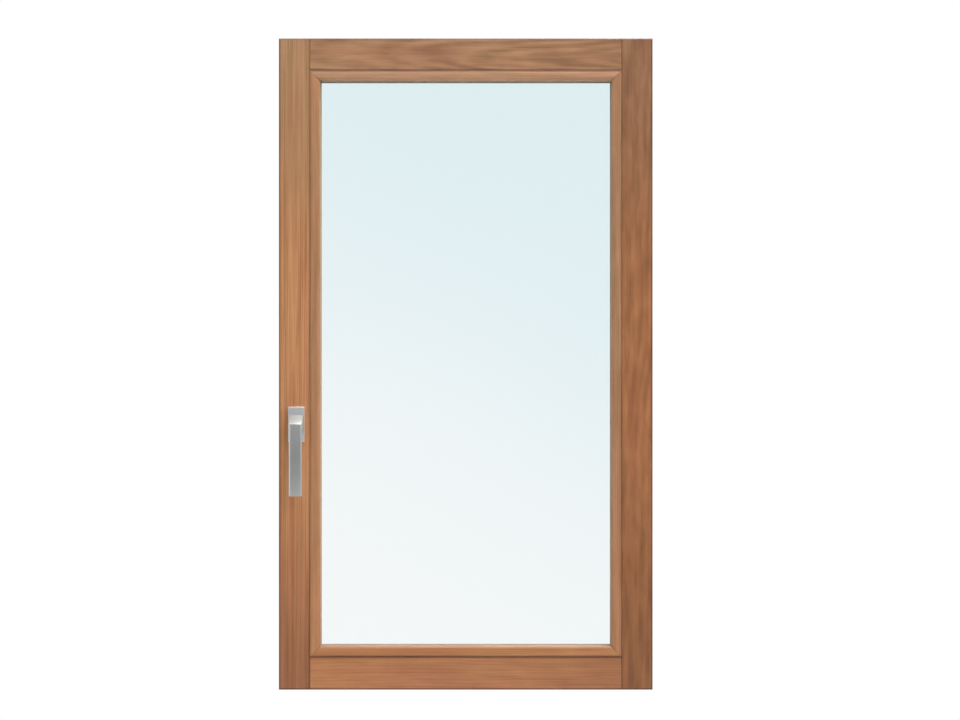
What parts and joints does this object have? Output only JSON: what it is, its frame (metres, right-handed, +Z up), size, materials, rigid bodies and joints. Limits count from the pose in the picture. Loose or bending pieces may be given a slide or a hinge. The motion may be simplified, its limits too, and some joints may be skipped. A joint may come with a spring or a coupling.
{
  "type": "window sash with lever handle",
  "caption": "Turn-only timber window sash with insulating glass, mitred glazing beads, and a lever handle that drives an edge espagnolette with locking rollers.",
  "frame": {"origin": "mouth of the lower hinge bore, on the hinge edge of the sash, in the middle of the flange's thickness", "axes": "+X across the sash from the handle edge to the hinge edge and out of the hinge bores, +Y from the room to the outside, +Z up"},
  "size_m": [0.7, 0.124, 1.22],
  "materials": {
    "timber_frame": "satin varnish",
    "timber_bead": "satin varnish",
    "pane_glass": "polished",
    "spacer_metal": "mill",
    "corner_plastic": "moulded",
    "desiccant": "granular",
    "sealant": "cured",
    "glazing_tape": "foam",
    "gasket": "extruded",
    "setting_block": "moulded",
    "location_block": "moulded",
    "zinc_steel": "zinc plated",
    "case_zinc": "die cast",
    "follower_steel": "sintered, oiled",
    "satin_steel": "satin",
    "base_plastic": "moulded",
    "washer_plastic": "smooth",
    "spring_steel": "drawn wire"
  },
  "bodies": {
    "sash": {"stile_handle": "timber_frame", "stile_hinge": "timber_frame", "rail_top": "timber_frame", "rail_bottom": "timber_frame", "bead_left": "timber_bead", "bead_right": "timber_bead", "bead_top": "timber_bead", "bead_bottom": "timber_bead", "bead_brads": "zinc_steel", "pane_inner": "pane_glass", "pane_outer": "pane_glass", "spacer_tubes": "spacer_metal", "spacer_corners": "corner_plastic", "desiccant": "desiccant", "edge_sealant": "sealant", "setting_blocks": "setting_block", "location_blocks": "location_block", "glazing_tape_inner": "glazing_tape", "glazing_tape_outer": "glazing_tape", "sash_gasket": "gasket", "faceplate": "zinc_steel", "plate_screws": "zinc_steel", "gear_case_front": "case_zinc", "gear_case_back": "case_zinc", "case_rivets": "zinc_steel", "case_screws": "zinc_steel", "rosette_base": "base_plastic", "rosette_cover": "satin_steel", "handle_screws": "zinc_steel", "detent_balls": "spring_steel", "detent_springs": "spring_steel"},
    "handle": {"lever": "satin_steel", "bearing_washer": "washer_plastic", "retaining_ring": "spring_steel", "spindle": "zinc_steel", "spindle_pin": "spring_steel", "follower": "follower_steel"},
    "drive": {"drive_rod": "zinc_steel", "cam_pins": "zinc_steel"},
    "roller_low": {"cam_roller_low": "zinc_steel"},
    "roller_mid": {"cam_roller_mid": "zinc_steel"},
    "roller_high": {"cam_roller_high": "zinc_steel"}
  },
  "joints": [
    {"name": "handle_turn", "type": "hinge", "parent": "sash", "child": "handle", "pos_m": [-0.667, -0.009, 0.347], "axis": [0, -1, 0], "range_deg": [0, 90]},
    {"name": "rod_slide", "type": "slide", "parent": "sash", "child": "drive", "axis": [0, 0, -1], "range_m": [0, 0.0181]},
    {"name": "roller_low_spin", "type": "hinge", "parent": "drive", "child": "roller_low", "pos_m": [-0.6859, 0.022, -0.025], "axis": [1, 0, 0], "continuous": true},
    {"name": "roller_mid_spin", "type": "hinge", "parent": "drive", "child": "roller_mid", "pos_m": [-0.6859, 0.022, 0.55], "axis": [1, 0, 0], "continuous": true},
    {"name": "roller_high_spin", "type": "hinge", "parent": "drive", "child": "roller_high", "pos_m": [-0.6859, 0.022, 0.945], "axis": [1, 0, 0], "continuous": true}
  ],
  "couplings": [
    {"joint": "rod_slide", "follows": "handle_turn", "m_per_rad": 0.0115}
  ]
}
